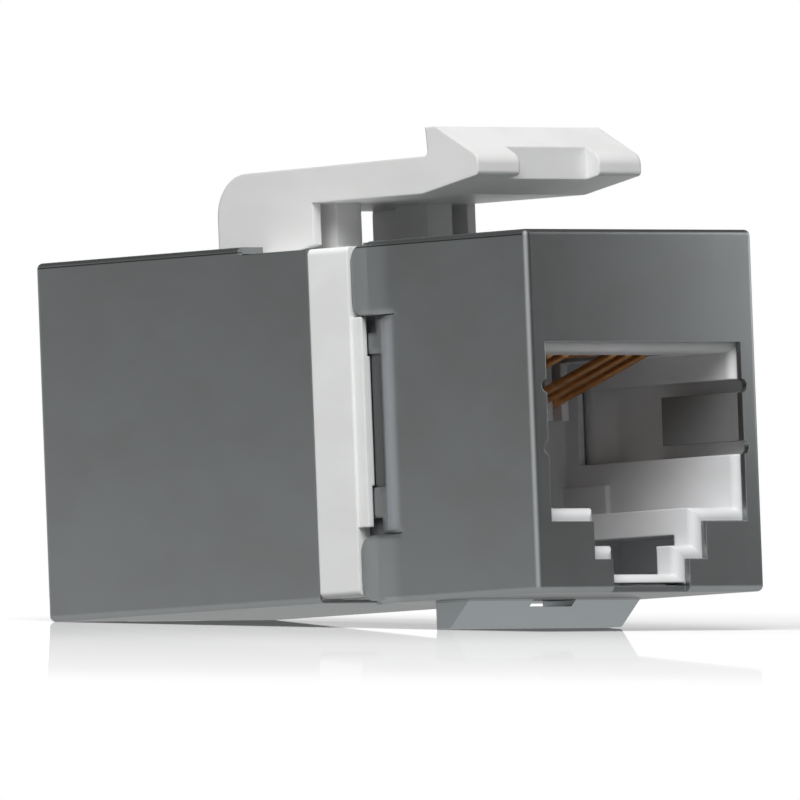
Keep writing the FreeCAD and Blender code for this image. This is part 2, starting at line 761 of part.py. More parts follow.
def contact_sled(label):
    """Moulded sled inside the contact loops, with ribs between the strips."""
    body = new_body(label)
    front = "(dims.nose_depth + dims.strip_thickness / 2 + dims.sled_run_gap)"
    back = f"({TAIL_LEAD} - dims.tail_step - dims.sled_tail_gap)"
    plate = side_sketch(body, f"{label}_plate")
    outline(
        plate,
        [
            (front, "dims.sled_level", "dims.sled_round"),
            (back, "dims.sled_level"),
            (back, SLED_TOP),
            (front, SLED_TOP, "dims.sled_round"),
        ],
    )
    grow(body, plate, "dims.sled_width", both=True)
    ribs = cross_sketch(body, f"{label}_ribs", f"{front} + dims.sled_thickness")
    for left, right in teeth():
        rectangle(ribs, left, right, "dims.sled_level", f"{SLED_TOP} + dims.sled_rib_height")
    grow_back(body, ribs, f"{back} - {front} - dims.sled_thickness")
    return body


def circuit_board():
    body = new_body("circuit_board")
    blank = cross_sketch(body, "board_blank", BOARD_FRONT)
    edge = f"({HOLE_X} - dims.board_margin)"
    rectangle(
        blank,
        f"-{edge}",
        edge,
        f"{HOLE_BOTTOM} + dims.board_margin",
        f"{HOLE_TOP} - dims.board_margin",
    )
    grow_back(body, blank, "dims.board_thickness")
    # Holes for the flat tails of both jacks: the rear jack's rows are swapped, since it is turned round.
    holes = cross_sketch(body, "board_holes", BOARD_FRONT)
    for number in range(1, int(DIMENSIONS["contact_count"]) + 1):
        strip_section(holes, number, contact_row(number), "dims.hole_fit")
        strip_section(holes, number, f"({contact_row(number + 1)} + dims.rear_rise)", "dims.hole_fit")
    cut(body, holes, "dims.board_thickness")
    return body


def centre_frame():
    """White band between the shells, with spigots into the front shell and a sleeve inside the rear one."""
    body = new_body("centre_frame")
    low = f"({BOTTOM} + dims.rear_rise + dims.band_lift)"
    high = f"({TOP} + dims.rear_rise - dims.band_drop)"
    band = cross_sketch(body, "band", BAND_FRONT)
    rectangle(band, f"-{HALF_WIDTH}", HALF_WIDTH, low, high)
    grow_back(body, band, f"dims.band_rear - {BAND_FRONT}")
    round_edges(body, "band_corners", "dims.bend_radius", lambda edge: runs_along(edge, "y"))
    sleeve = cross_sketch(body, "sleeve", "dims.band_rear")
    rectangle(sleeve, f"-{HEAD_X}", HEAD_X, f"{HEAD_BOTTOM} + dims.rear_rise", SLEEVE_TOP)
    grow_back(body, sleeve, f"{SLEEVE_REAR} - dims.band_rear")
    spigot_front = f"({HEAD_DEPTH} + dims.frame_fit)"
    spigots = cross_sketch(body, "spigots", spigot_front)
    spigot = "dims.spigot_width / 2"
    rectangle(spigots, f"-{spigot}", spigot, TAIL_TOP, HEAD_TOP)
    rectangle(spigots, f"-{spigot}", spigot, HEAD_BOTTOM, TAIL_BOTTOM)
    grow_back(body, spigots, f"dims.band_rear - {spigot_front}")
    lip_front = f"({JOGGLE_END} + dims.lip_lead)"
    lips = cross_sketch(body, "lips", lip_front)
    inner = f"({FLANGE_OUT} + dims.frame_fit)"
    outer = f"({HALF_WIDTH} - dims.lip_inset)"
    lip_low = f"({TAB_LOW} + dims.lip_gap_low)"
    lip_high = f"({TAB_HIGH} - dims.lip_gap_high)"
    both_sides(lips, [(inner, lip_low), (outer, lip_low), (outer, lip_high), (inner, lip_high)])
    grow_back(body, lips, f"{BAND_FRONT} - {lip_front} + dims.lip_inset")
    hole = cross_sketch(body, "insert_hole", HEAD_DEPTH)
    rectangle(hole, f"-{HOLE_X}", HOLE_X, HOLE_BOTTOM, HOLE_TOP)
    cut(body, hole, "dims.body_length")
    # Pockets for the side flanges, and catches on the lips that snap into the flanges' own pockets.
    pockets = cross_sketch(body, "flange_pockets", BAND_FRONT)
    pocket_low = f"({FLANGE_LOW} - dims.pocket_gap)"
    pocket_high = f"({FLANGE_HIGH} + dims.pocket_gap)"
    both_sides(
        pockets,
        [(TAIL_X, pocket_low), (inner, pocket_low), (inner, pocket_high), (TAIL_X, pocket_high)],
    )
    cut(body, pockets, f"dims.flange_depth - {BAND_FRONT} + dims.pocket_gap")
    catches = cross_sketch(body, "catches", f"{POCKET_FRONT} + dims.catch_lead")
    tip = f"{inner} - dims.catch_reach"
    root = f"({inner} + {outer}) / 2"
    catch_low = "dims.pocket_level - dims.catch_height / 2"
    catch_high = "dims.pocket_level + dims.catch_height / 2"
    both_sides(catches, [(tip, catch_low), (root, catch_low), (root, catch_high), (tip, catch_high)])
    grow_back(body, catches, "dims.catch_length")
    # Open cradles that hold the latch's round feet.
    width = "dims.post_width + 2 * dims.pivot_side_fit"
    for word, side in (
        ("right_cradle", f"{POST_OUTER} + dims.pivot_side_fit"),
        ("left_cradle", "-(dims.post_inner - dims.pivot_side_fit)"),
    ):
        cradle = side_sketch(body, word, side)
        circle(cradle, PIVOT_Y, PIVOT_Z, "dims.pivot_radius + dims.pivot_fit")
        cut(body, cradle, width)
    return body


def latch():
    """Moulded latch: hook and ramp at the front of a thin arm, on two cheeks and two round-footed posts."""
    body = new_body("latch")
    seat = f"({SLEEVE_TOP} + dims.foot_gap)"
    profile = side_sketch(body, "latch_profile")
    tip_top = f"({level('tip_level')} + dims.tip_height)"
    hook_foot = "(dims.hook_rear - dims.hook_lean)"
    outline(
        profile,
        [
            ("dims.latch_tip", level("tip_level"), "dims.edge_round"),
            ("dims.head_rear", level("arm_under")),
            ("dims.foot_front", level("arm_under")),
            ("dims.foot_front", f"{seat} + dims.foot_toe"),
            (PIVOT_Y, seat),
            ("dims.foot_rear", seat),
            ("dims.foot_rear", level("arm_rear_level"), "dims.foot_round"),
            (hook_foot, level("arm_level"), "dims.edge_round"),
            ("dims.hook_rear", level("hook_level")),
            ("dims.ramp_top", level("hook_level"), "dims.edge_round"),
            ("dims.latch_tip", tip_top, "dims.tip_round"),
        ],
    )
    grow(body, profile, "dims.latch_width", both=True)
    hollow = cross_sketch(body, "foot_hollow", "dims.foot_front - dims.cheek")
    inside = "(dims.latch_width / 2 - dims.cheek)"
    rectangle(hollow, f"-{inside}", inside, f"{seat} - dims.cheek", level("arm_under"))
    cut(body, hollow, "dims.foot_rear")
    posts = cross_sketch(body, "posts", "dims.foot_front")
    arm_middle = f"({level('arm_under')} + dims.cheek)"
    both_sides(
        posts,
        [
            ("dims.post_inner", PIVOT_Z),
            (POST_OUTER, PIVOT_Z),
            (POST_OUTER, arm_middle),
            ("dims.post_inner", arm_middle),
        ],
    )
    grow_back(body, posts, "dims.post_depth")
    for word, side in (("right_foot", "dims.post_inner"), ("left_foot", f"-{POST_OUTER}")):
        foot = side_sketch(body, word, side)
        circle(foot, PIVOT_Y, PIVOT_Z, "dims.pivot_radius")
        grow(body, foot, "dims.post_width")
    notch = plan_sketch(body, "head_notch", level("arm_under"))
    half = "dims.notch_width / 2"
    rectangle(
        notch, f"-{half}", half, "dims.latch_tip - dims.notch_depth", "dims.latch_tip + dims.notch_depth"
    )
    cut(body, notch, "dims.hook_level", reverse=True)
    return body


def build():
    numbers = range(1, int(DIMENSIONS["contact_count"]) + 1)
    pieces = [
        front_shell(),
        rear_shell(),
        centre_frame(),
        latch(),
        circuit_board(),
        port_insert("front_port_insert"),
        turn_round(port_insert("rear_port_insert")),
        contact_sled("front_contact_carrier"),
        turn_round(contact_sled("rear_contact_carrier")),
    ]
    pieces += [contact(f"front_contact_{number}", number) for number in numbers]
    pieces += [turn_round(contact(f"rear_contact_{number}", number)) for number in numbers]
    return pieces


def check(pieces):
    """Stop if any feature failed or any piece is not one valid solid."""
    failed = [item.Name for item in doc.Objects if {"Invalid", "Error"} & set(item.State)]
    if failed:
        raise RuntimeError(f"features that did not build: {failed}")
    for piece in pieces:
        if piece.Shape.isNull() or not piece.Shape.isValid() or len(piece.Shape.Solids) != 1:
            raise RuntimeError(f"{piece.Label} is not one valid solid")


pieces = build()
doc.recompute()
check(pieces)
os.makedirs("parts", exist_ok=True)
for piece in pieces:
    piece.Shape.exportStep(f"parts/{piece.Label}.step")
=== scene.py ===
"""Looks of a shielded keystone coupler: satin metal, white mouldings, formed springs and a white studio."""

import math

import bpy
from mathutils import Matrix, Vector


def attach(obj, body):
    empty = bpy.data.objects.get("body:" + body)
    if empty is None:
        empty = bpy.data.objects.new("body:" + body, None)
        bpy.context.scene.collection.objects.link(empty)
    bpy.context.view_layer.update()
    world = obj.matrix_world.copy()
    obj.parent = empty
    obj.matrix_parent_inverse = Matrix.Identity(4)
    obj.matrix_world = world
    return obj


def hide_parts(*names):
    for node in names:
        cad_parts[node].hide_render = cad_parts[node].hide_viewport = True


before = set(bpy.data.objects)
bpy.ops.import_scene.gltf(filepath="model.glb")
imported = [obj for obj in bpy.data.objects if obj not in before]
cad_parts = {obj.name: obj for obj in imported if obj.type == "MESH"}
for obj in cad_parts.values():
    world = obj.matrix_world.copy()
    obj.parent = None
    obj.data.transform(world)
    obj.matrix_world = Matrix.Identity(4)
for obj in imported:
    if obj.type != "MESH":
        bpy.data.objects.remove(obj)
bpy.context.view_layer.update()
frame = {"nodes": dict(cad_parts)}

bl_info = {
    "name": "Keystone coupler looks",
    "version": (1, 0, 0),
    "blender": (4, 5, 0),
    "location": "3D View > Sidebar > Coupler",
    "description": "Finishes, contact springs and studio of a shielded keystone coupler",
    "category": "Object",
}

MM = 0.001
WHITE = (1.0, 1.0, 1.0, 1.0)
BEVEL_SAMPLES = 6

# Boxes of the shells in millimetres, each with its middle and its reach along X, Y and Z. A room is the
# space between the walls, where a finish is kept to one side of the sheet.
FRONT_GROUNDS = ((0.0, 2.6, 1.1), (6.6, 2.4, 9.0))
REAR_GROUNDS = ((0.0, 29.2, 1.1), (6.6, 2.4, 9.0))
INNER_ROOM = ((0.0, 15.9, 1.1), (7.1, 15.55, 7.96))
SEAM_ROOM = ((0.0, 15.9, 1.1), (7.0, 17.0, 9.0))
FRONT_SEAM = ((0.0, 6.0, 8.95), (8.0, 5.8, 0.03))
REAR_SEAM = ((0.0, 23.0, 9.15), (8.0, 8.6, 0.03))
POCKETS = ((0.0, 10.9, 1.1), (6.72, 1.1, 3.15))
POCKET_ROOM = ((0.0, 10.9, 1.1), (6.6, 1.1, 3.15))
TABS = ((0.0, 10.0, 1.0), (8.0, 1.5, 9.0))
BETWEEN_TABS = ((0.0, 10.0, 1.0), (8.0, 1.5, 4.9))
TAB_ROOM = ((0.0, 10.0, 1.0), (7.0, 1.5, 9.0))
WALL_ROOM = ((0.0, 10.0, 1.0), (6.75, 3.0, 7.9))
FLANGE_BENDS = ((0.0, 9.0, 1.0), (8.0, 0.9, 4.9))
EASED_BENDS = ((0.0, 9.3, 1.0), (8.0, 1.5, 6.0))
LUG = ((0.0, 7.5, -7.9), (8.0, 2.0, 0.62))

# Boxes of the jacks in the same form: their sides behind the flanges, where a dark colour is painted as
# shade, and what lies between the sides.
JACK_PAINTED_SHADE = ((0.0, 11.6, 0.88), (6.65, 1.7, 5.0))
JACK_CORE = ((0.0, 11.6, 0.88), (6.3, 1.7, 5.0))

# How the inner side of the sheet runs, in millimetres: it goes in where the side flanges are set in.
INNER_WALL = 7.1
FLANGE_START = 8.5
FLANGE_RUN = 1.35
FLANGE_SLOPE = 0.38
FRONT_SHELL_END = 13.0

# How the side walls lean in towards the rear tabs, in millimetres: a bend, and then a steady slope.
TUCK_START = 8.7
TUCK_BEND = 1.0
TUCK_SLOPE = 0.1

# Depths in millimetres between which the painted reflection comes in, a lighter tint on the rear tabs, the
# lug and the drawn flanges, and how strong it is on the tabs and the lug.
REFLECTION_START = 8.6
REFLECTION_FULL = 9.4
TAB_REFLECTION = 0.4
LUG_REFLECTION = 0.8

# The plating: how much painted shade darkens its pockets, how much less metallic its inner side and the film
# on it are, what the grain and the specks add to its relief, and what each thing adds to its roughness.
POCKET_PAINTED_SHADE = 0.65
BACK_DULLNESS = 0.75
FILM_DULLNESS = 0.25
GRAIN_RELIEF, SPECK_RELIEF = 0.7, 0.5
PLATING_BASE, GRAIN_ROUGH, SMEAR_ROUGH, BACK_ROUGH = -0.06, 0.05, 0.08, 0.2

# Cycles of noise for each millimetre along X, Y and Z. The sheet is rolled along Y.
ROLLED_GRAIN = (26.0, 3.0, 26.0)
SPECKS = (55.0, 55.0, 55.0)
PLATING_CLOUDS = (0.35, 0.22, 0.35)
SMEARS = (1.6, 0.7, 1.6)
DRAWN_GRAIN = (30.0, 2.0, 6.0)
PLATED_SPOTS = (2.4, 1.2, 2.4)
CLOTH = (1.6, 1.6, 1.6)
VARNISH_CLOUDS = (0.9, 0.9, 0.9)
PAPER_CLOUDS = (0.02, 0.02, 0.02)

# Levels of noise between which a second colour comes in.
PLATING_DRIFT = (0.3, 0.75)
SPOT_DRIFT = (0.35, 0.65)

# The springs' and the board's roughness, and what makes up the board's lighter places.
SPRING_BASE, DRAWN_ROUGH = -0.04, 0.12
VARNISH_ROUGH = 0.12
CLOTH_SHARE, CLOUD_SHARE = 0.6, 0.4

# Contact springs in each port, and the points on each rounded bend and strip corner.
SPRINGS = 8
BEND_STEPS = 8
CORNER_STEPS = 3
SHARP_ANGLE = math.radians(40.0)

# Directions from the coupler's middle: to the rear, along the camera's view and to its right.
REARWARD = (0.1734, 0.98515, 0.0)
ONWARD = (0.70295, 0.7106, 0.0)
RIGHTWARD = (0.70295, -0.7106, 0.0)
RING_STEPS = 48

# The ring's white behind the coupler falls off by this power, that at the ends of the view between these
# shares of the way there, and its shade at the right comes in the same way.
REAR_POWER = 4.0
ENDS_FADE = (0.80, 0.95)
RIGHT_FADE = (0.3, 0.9)
RIGHT_SHADE = 0.17

# The floor: how white mirrors show it under the coupler, and how its polish grows at grazing angles.
MIRRORED_WHITE = 0.75
POLISH_ROUGHNESS = 0.02
GRAZING_POWER = 10.0

# Metres: how far the floor goes to each side, where its polish ends, and the camera's range.
FLOOR_HALF = 6.0
POLISH_FADES, POLISH_GONE = 0.12, 0.17
NEAREST, FARTHEST = 0.05, 30.0

# Width of the camera's sensor in millimetres.
SENSOR_WIDTH = 36.0


class Value:
    """An output of a node tree that Python's operators work on."""

    def __init__(self, tree, socket):
        self.tree = tree
        self.socket = socket

    def _math(self, operation, first, second=0.0):
        return add_node(self.tree, "ShaderNodeMath", {"operation": operation}, {0: first, 1: second})[0]

    def __add__(self, other):
        return self._math("ADD", self, other)

    def __radd__(self, other):
        return self._math("ADD", other, self)

    def __sub__(self, other):
        return self._math("SUBTRACT", self, other)

    def __rsub__(self, other):
        return self._math("SUBTRACT", other, self)

    def __mul__(self, other):
        return self._math("MULTIPLY", self, other)

    def __rmul__(self, other):
        return self._math("MULTIPLY", other, self)

    def __pow__(self, other):
        return self._math("POWER", self, other)

    def __rpow__(self, other):
        return self._math("POWER", other, self)

    def __abs__(self):
        return self._math("ABSOLUTE", self)

    def at_least(self, low):
        """This value, or low where this is less."""
        return self._math("MAXIMUM", self, low)

    def at_most(self, high):
        """This value, or high where this is more."""
        return self._math("MINIMUM", self, high)

    def below(self, limit):
        """1 where this value is less than the limit, 0 elsewhere."""
        return self._math("LESS_THAN", self, limit)


class Outputs:
    """A node's outputs as values, by name or number."""

    def __init__(self, node):
        self.node = node

    def __getitem__(self, key):
        return Value(self.node.id_data, self.node.outputs[key])


def add_node(tree, kind, settings=None, sockets=None):
    """Add a node, give it its settings first, then the values or links of its sockets."""
    node = tree.nodes.new(kind)
    for key, value in (settings or {}).items():
        setattr(node, key, value)
    for key, value in (sockets or {}).items():
        if isinstance(value, Value):
            tree.links.new(value.socket, node.inputs[key])
        else:
            node.inputs[key].default_value = value
    return Outputs(node)


def rgba(colour, tint=WHITE):
    """A colour times a tint, as four numbers."""
    return tuple(c * t for c, t in zip(colour, tint)) + (1.0,)


class Finish:
    """A material and the nodes that make it."""

    def __init__(self, name):
        self.material = bpy.data.materials.new(name)
        self.material.use_nodes = True
        self.tree = self.material.node_tree
        self.tree.nodes.clear()
        self.place = self.add("ShaderNodeTexCoord")["Object"]

    def add(self, kind, settings=None, sockets=None):
        return add_node(self.tree, kind, settings, sockets)

    def vector(self, operation, first, second):
        """The outputs of vector maths on two vectors."""
        return self.add("ShaderNodeVectorMath", {"operation": operation}, {0: first, 1: second})

    def parts(self, vector):
        """A vector's parts along X, Y and Z, by those names."""
        return self.add("ShaderNodeSeparateXYZ", None, {"Vector": vector})

    def stretched(self, cycles):
        """The place on the object, in cycles for each millimetre along X, Y and Z."""
        return self.vector("MULTIPLY", self.place, tuple(c / MM for c in cycles))[0]

    def noise(self, cycles, detail=2.0, roughness=0.5):
        """Noise from 0 to 1 with so many cycles for each millimetre along X, Y and Z."""
        return self.add("ShaderNodeTexNoise", None, {
            "Vector": self.stretched(cycles), "Scale": 1.0,
            "Detail": detail, "Roughness": roughness})["Fac"]

    def blend(self, factor, first, second):
        """A colour between two colours."""
        return self.add("ShaderNodeMix", {"data_type": "RGBA"}, {0: factor, 6: first, 7: second})[2]

    def eased(self, value, low, high):
        """A value taken smoothly from 0 at low to 1 at high."""
        return self.add("ShaderNodeMapRange", {"interpolation_type": "SMOOTHSTEP"}, {
            "Value": value, "From Min": low, "From Max": high})["Result"]

    def within(self, box):
        """1 inside a box, 0 outside."""
        middle, reach = box
        away = self.parts(self.vector("SUBTRACT", self.place, tuple(m * MM for m in middle))[0])
        sides = [abs(away[axis]).below(r * MM) for axis, r in zip("XYZ", reach)]
        return sides[0] * sides[1] * sides[2]

    def around(self, box, inner):
        """1 inside a box and outside another that lies in it, 0 elsewhere."""
        return self.within(box) - self.within(inner)

    def relief(self, height, depth, edge, lean=None):
        """The normal of a surface with that relief, its sharp edges eased, and with a lean in metres."""
        rounded = self.add("ShaderNodeBevel", {"samples": BEVEL_SAMPLES}, {"Radius": edge})["Normal"]
        if lean is not None:
            rounded = self.bump(lean, 1.0, rounded)
        return self.bump(height, depth, rounded)

    def bump(self, height, depth, normal):
        """That normal with a height on it, which is as deep as that where it is 1."""
        return self.add("ShaderNodeBump", None, {
            "Strength": 1.0, "Distance": depth, "Height": height, "Normal": normal})["Normal"]

    def mixed(self, factor, first, second):
        """A shader between two shaders."""
        return self.add("ShaderNodeMixShader", None, {0: factor, 1: first, 2: second})["Shader"]

    def shining(self, colour):
        """A shader that gives off that colour."""
        return self.add("ShaderNodeEmission", None, {"Strength": 1.0, "Color": colour})["Emission"]

    def end(self, shader):
        """End the material with that shader."""
        self.add("ShaderNodeOutputMaterial", None, {"Surface": shader})

    def end_one_sided(self, shader):
        """End the material with a shader that is clear from behind."""
        clear = self.add("ShaderNodeBsdfTransparent")["BSDF"]
        self.end(self.mixed(self.add("ShaderNodeNewGeometry")["Backfacing"], shader, clear))

    def end_surface(self, **sockets):
        """End the material with a Principled shader."""
        named = {key.replace("_", " "): value for key, value in sockets.items()}
        self.end(self.add("ShaderNodeBsdfPrincipled", None, named)["BSDF"])

    def wear(self, *node_names):
        """Give the CAD nodes of these names this material."""
        for node_name in node_names:
            mesh = frame["nodes"][node_name].data
            mesh.materials.clear()
            mesh.materials.append(self.material)


class Moulding(Finish):
    """A moulded finish: spark grain all over, and a colour that drifts as the melt flowed."""

    def __init__(self, name, settings, spark, flow):
        super().__init__(name)
        self.settings = settings
        self.spark = self.noise((spark, spark, spark), detail=3.0, roughness=0.6)
        self.flow = self.noise(flow)

    def drift(self, colour, tint, start, full=0.7):
        """That colour, tinted where the flow noise goes from start to full."""
        return self.blend(self.eased(self.flow, start, full), rgba(colour), rgba(colour, tint))

    def end_moulded(self, colour, smoother, uneven, **sockets):
        """End the material, with a roughness that the spark grain makes uneven."""
        self.end_surface(
            Base_Color=colour,
            Roughness=self.settings.roughness - smoother + self.spark * uneven,
            Normal=self.relief(self.spark, self.settings.grain, self.settings.edge),
            **sockets)


def colour_property(name, description, default):
    return bpy.props.FloatVectorProperty(
        name=name, description=description, default=default, size=3, min=0.0, max=1.0, subtype="COLOR")


def vector_property(name, description, default, subtype):
    return bpy.props.FloatVectorProperty(
        name=name, description=description, default=default, size=3, subtype=subtype, precision=4)


def length_property(name, description, default):
    return bpy.props.FloatProperty(
        name=name, description=description, default=default, unit="LENGTH", precision=6)


def angle_property(name, description, degrees):
    return bpy.props.FloatProperty(
        name=name, description=description, default=math.radians(degrees), subtype="ANGLE")


def factor_property(name, description, default):
    return bpy.props.FloatProperty(
        name=name, description=description, default=default, min=0.0, max=1.0, subtype="FACTOR")


def level_property(name, description, default):
    return bpy.props.FloatProperty(name=name, description=description, default=default, min=0.0)


def power_property(name, description, default):
    return bpy.props.FloatProperty(
        name=name, description=description, default=default, min=0.0, unit="POWER")


class ShieldSettings(bpy.types.PropertyGroup):
    """Finish of the folded metal shells."""
    colour: colour_property(
        "Metal", "Colour of the satin plating", (0.296, 0.310, 0.314))
    worn: colour_property(
        "Plating tint", "Colour where the plating is a little thinner", (0.279, 0.290, 0.292))
    painted_reflection: colour_property(
        # Painted reflection: a lighter tint on the rear tabs and the lug, standing in for their brighter
        # reflections.
        "Painted reflection", "Colour of the rear tabs and the lug", (0.40, 0.435, 0.447))
    # Painted reflection: a lighter, bluer tint on the drawn-in flange slopes, standing in for their brighter
    # reflection.
    drawn: colour_property(
        "Drawn", "Colour where the side flanges are drawn in", (0.427, 0.442, 0.468))
    back: colour_property(
        "Back of the sheet", "Colour of the dull inner side of the sheet", (0.20, 0.20, 0.20))
    film: colour_property(
        "Film", "Colour of the pale film inside the shells' side walls", (0.80, 0.80, 0.80))
    # This seam colour is also painted into the flange pockets as painted shade.
    seam: colour_property(
        "Seam", "Colour of the hairline seam under the top's rounded edge", (0.08, 0.083, 0.084))
    rim: colour_property(
        "Rim", "Tint of the metal where it is seen edge-on", (0.75, 0.75, 0.75))
    roughness: factor_property("Roughness", "How satin the plating is", 0.36)
    grain: length_property("Grain depth", "Height of the rolled grain", 0.0000016)
    edge: length_property("Edge rounding", "Rounding of the sheet's edges", 0.00007)
    drawn_edge: length_property("Drawn rounding", "Extra rounding where the flanges are set in", 0.00035)


class MouldingSettings(bpy.types.PropertyGroup):
    """Finish of the moulded pieces and the board."""
    frame: colour_property("Frame", "Colour of the centre frame", (0.90, 0.91, 0.905))
    latch: colour_property("Latch", "Colour of the latch", (0.80, 0.802, 0.80))
    jack: colour_property("Jack", "Colour of the moulded jacks", (0.82, 0.825, 0.84))
    # Painted shade: a dark colour on the jack's sides behind the flange notches, where the shadow falls.
    painted_notch_shade: colour_property(
        "Jack sides", "Colour of the jack's sides under the shell's flanges", (0.15, 0.152, 0.158))
    sled: colour_property("Sled", "Colour of the sleds that carry the contact springs", (0.10, 0.10, 0.105))
    board: colour_property("Board", "Colour of the circuit board's varnish", (0.02, 0.11, 0.04))
    roughness: factor_property("Roughness", "How matt the mouldings are", 0.42)
    gloss: factor_property("Board roughness", "How matt the board's varnish is at least", 0.24)
    grain: length_property("Grain depth", "Height of the spark grain and the board's cloth", 0.000003)
    edge: length_property("Edge rounding", "Rounding of the mouldings' edges", 0.00012)
    board_edge: length_property("Board rounding", "Rounding of the board's edges", 0.00004)


class SpringSettings(bpy.types.PropertyGroup):
    """Sizes and finish of the formed contact springs."""
    pitch: length_property("Pitch", "Distance from one contact spring to the next", 0.001016)
    width: length_property("Strip width", "Width of the spring strip", 0.00045)
    thickness: length_property("Strip thickness", "Thickness of the spring strip", 0.0003)
    corner: length_property("Strip corner", "Rounding of the strip's corners", 0.00007)
    bend: length_property("Bend radius", "Radius of the strip's bends", 0.0005)
    high_row: length_property("High tails", "Level of the odd springs' tails", 0.006)
    low_row: length_property("Low tails", "Level of the even springs' tails", 0.00445)
    tail_end: length_property("Tail end", "Depth at which the tails end", 0.017)
    tail_lead: length_property("Tail lead", "Depth at which the tails reach their row", 0.0146)
    run_end: length_property("Run end", "Depth at which the level run ends", 0.0132)
    run_level: length_property("Run level", "Level of the run over the sled", 0.00525)
    nose: length_property("Nose", "Depth at which the springs turn down", 0.0033)
    root: length_property("Spring root", "Level at which the springs turn back", 0.00382)
    tip_depth: length_property("Tip depth", "Depth of the springs' tips", 0.0098)
    tip_level: length_property("Tip level", "Level of the springs' tips", 0.00164)
    raised_tip: length_property("Raised tip", "Level of the tips of the two middle springs", 0.00372)
    length: length_property("Coupler length", "Length of the coupler, front face to rear face", 0.0318)
    rise: length_property("Rear rise", "How much higher the rear port stands", 0.0002)
    colour: colour_property("Plating", "Colour of the springs' plating", (0.94, 0.49, 0.19))
    dark: colour_property("Bare alloy", "Colour of the strip between plated spots", (0.78, 0.37, 0.13))
    roughness: factor_property("Roughness", "How satin the springs are", 0.32)
    grain: length_property("Grain depth", "Height of the drawn grain", 0.0000012)
    edge: length_property("Edge rounding", "Rounding of what edges the strip still has", 0.00002)


class StudioSettings(bpy.types.PropertyGroup):
    """Camera, lamps, floor and what the metal mirrors."""
    aim: vector_property("Aim", "Point that the camera circles", (0.0, 0.0159, 0.001), "TRANSLATION")
    azimuth: angle_property("Azimuth", "Turn of the camera round the coupler", -44.684)
    elevation: angle_property("Elevation", "Height of the camera's view", -2.1275)
    roll: angle_property("Roll", "Turn of the camera about its view", -2.174)
    distance: length_property("Distance", "Distance from the camera to the aim", 1.41467)
    shift_right: length_property("Shift right", "How far the camera stands to the right", 0.0000709)
    shift_up: length_property("Shift up", "How far the camera stands higher", 0.0013109)
    lens: bpy.props.FloatProperty(
        name="Lens", description="Focal length of the camera", default=1400.0, subtype="DISTANCE_CAMERA")
    floor_tilt: angle_property(
        "Floor tilt", "Tilt of the floor that the lug and the rear edge rest on", 3.59)
    floor_depth: length_property("Floor contact", "Depth of the lug's lowest edge", 0.0084)
    floor_level: length_property("Floor level", "Level of the lug's lowest edge", -0.00845)
    floor_colour: colour_property("Floor", "Colour of the floor as it is seen", (0.84, 0.84, 0.84))
    floor_bounce: colour_property(
        "Floor bounce", "Colour of the floor for the light that it gives back", (0.26, 0.26, 0.26))
    floor_near: length_property("Floor shade", "Distance at which the floor's shade starts to fade", 0.016)
    floor_far: length_property("Floor white", "Distance at which the floor is plain white", 0.075)
    polish: factor_property("Polish", "How much the floor mirrors under the aim", 0.49)
    polish_loss: level_property("Polish loss", "How much of the polish each metre takes away", 2.67)
    ambient: level_property("Ambient", "Strength of the room's light on the coupler", 0.15)
    key: power_property("Key lamp", "Power of the lamp at the front left", 0.78)
    key_way: vector_property(
        "Key direction", "Where the key lamp stands", (-0.51, -0.46, 0.73), "DIRECTION")
    key_size: length_property("Key size", "Side of the key lamp", 0.20)
    fill: power_property("Fill lamp", "Power of the lamp at the rear right", 0.22)
    fill_way: vector_property(
        "Fill direction", "Where the fill lamp stands", (0.82, 0.50, 0.28), "DIRECTION")
    fill_size: length_property("Fill size", "Side of the fill lamp", 0.12)
    lamp_distance: length_property("Lamp distance", "Distance from the lamps to the aim", 0.25)
    surround: level_property("Surround", "Grey of the ring that the metal mirrors", 0.25)
    ring_radius: length_property("Ring radius", "Radius of the grey ring", 0.085)
    ring_low: length_property("Ring foot", "Level of the grey ring's lower edge", -0.02)
    ring_high: length_property("Ring top", "Level of the grey ring's upper edge and of the hood", 0.045)
    hood: level_property("Hood", "Grey that the top's rounded edges mirror", 0.16)
    card: level_property("Card", "White of the card that the right of the front face mirrors", 2.25)
    card_place: vector_property("Card place", "Middle of the card", (0.0494, -0.0143, 0.021), "TRANSLATION")
    card_reach: vector_property(
        "Card reach", "Reach of the upright card from its middle", (0.0133, 0.0133, 0.019), "TRANSLATION")


